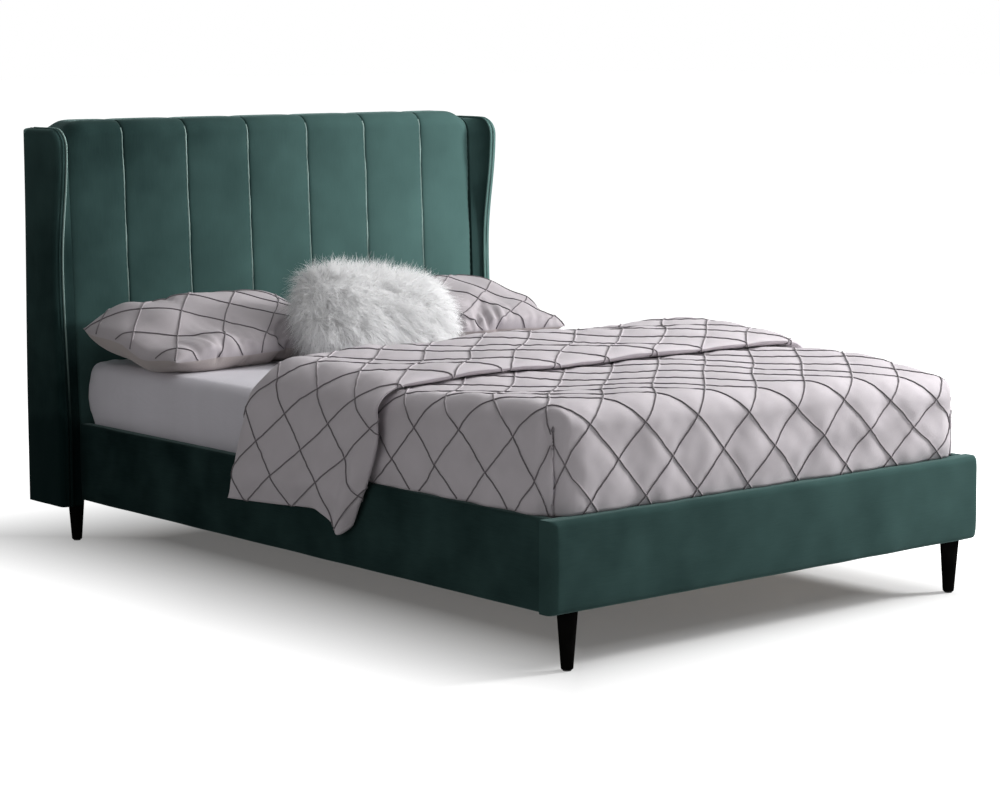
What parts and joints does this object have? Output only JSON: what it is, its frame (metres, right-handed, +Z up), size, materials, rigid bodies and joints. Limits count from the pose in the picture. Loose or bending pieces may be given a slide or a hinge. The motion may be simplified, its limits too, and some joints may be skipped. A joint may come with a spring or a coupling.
{
  "type": "wingback bed",
  "caption": "Upholstered double bed with a channelled wingback headboard, padded rails, tapered legs, a sprung slatted base, a mattress, pillows and a pintucked duvet.",
  "frame": {"origin": "on the floor under the middle of the bed", "axes": "+X to the right of someone at the foot who faces the headboard, +Y along the bed to the headboard, +Z up"},
  "size_m": [1.55, 2.13, 1.17],
  "materials": {
    "birch_slat": "glued birch veneer, clear satin",
    "black_lacquer": "black satin lacquer",
    "black_plastic": "moulded, matte",
    "black_steel": "black powder coat",
    "mattress_ticking": "plain woven ticking",
    "pine_and_ply": "sawn pine and plywood, unfinished",
    "pintuck_cotton": "mauve-grey brushed cotton with pintucks",
    "sheet_cotton": "pale lilac-grey cotton",
    "velvet": "dark teal-green velvet with an upright nap",
    "white_fur": "long white pile",
    "zinc_steel": "zinc plated"
  },
  "bodies": {
    "frame": {"headboard_front_board": "pine_and_ply", "headboard_top_rail": "pine_and_ply", "headboard_middle_rail": "pine_and_ply", "headboard_bottom_rail": "pine_and_ply", "headboard_post_left": "pine_and_ply", "headboard_post_right": "pine_and_ply", "headboard_base_panel": "velvet", "headboard_back_cover": "velvet", "channel_pad_1": "velvet", "channel_pad_2": "velvet", "channel_pad_3": "velvet", "channel_pad_4": "velvet", "channel_pad_5": "velvet", "channel_pad_6": "velvet", "channel_pad_7": "velvet", "wing_board_left": "pine_and_ply", "wing_board_right": "pine_and_ply", "wing_batten_left": "pine_and_ply", "wing_batten_right": "pine_and_ply", "wing_cover_left": "velvet", "wing_cover_right": "velvet", "wing_bolts": "zinc_steel", "side_rail_board_left": "pine_and_ply", "side_rail_board_right": "pine_and_ply", "side_rail_cover_left": "velvet", "side_rail_cover_right": "velvet", "slat_bearer_left": "pine_and_ply", "slat_bearer_right": "pine_and_ply", "bearer_screws": "zinc_steel", "foot_rail_board": "pine_and_ply", "foot_rail_cover": "velvet", "corner_brackets": "black_steel", "corner_bolts": "zinc_steel", "slats_left": "birch_slat", "slats_right": "birch_slat", "slat_caps_left": "black_plastic", "slat_caps_right": "black_plastic", "slat_caps_centre": "black_plastic", "centre_rail": "pine_and_ply", "centre_rail_hangers": "black_steel", "centre_leg_front": "black_steel", "centre_leg_rear": "black_steel", "centre_leg_feet": "black_plastic", "leg_front_left": "black_lacquer", "leg_front_right": "black_lacquer", "leg_rear_left": "black_lacquer", "leg_rear_right": "black_lacquer", "leg_glides": "black_plastic", "leg_hanger_bolts": "zinc_steel"},
    "mattress": {"mattress": "mattress_ticking", "fitted_sheet": "sheet_cotton"},
    "duvet": {"duvet": "pintuck_cotton"},
    "pillow_left": {"pillow_left": "pintuck_cotton"},
    "pillow_right": {"pillow_right": "pintuck_cotton"},
    "fur_cushion": {"fur_cushion": "white_fur"}
  },
  "joints": [
    {"name": "mattress_lift", "type": "slide", "parent": "frame", "child": "mattress", "axis": [0, 0, 1], "range_m": [0, 0.45]},
    {"name": "duvet_lift", "type": "slide", "parent": "mattress", "child": "duvet", "axis": [0, 0, 1], "range_m": [0, 0.45]},
    {"name": "pillow_left_lift", "type": "slide", "parent": "mattress", "child": "pillow_left", "axis": [0, 0, 1], "range_m": [0, 0.45]},
    {"name": "pillow_right_lift", "type": "slide", "parent": "mattress", "child": "pillow_right", "axis": [0, 0, 1], "range_m": [0, 0.45]},
    {"name": "fur_cushion_lift", "type": "slide", "parent": "mattress", "child": "fur_cushion", "axis": [0, 0, 1], "range_m": [0, 0.45]}
  ]
}
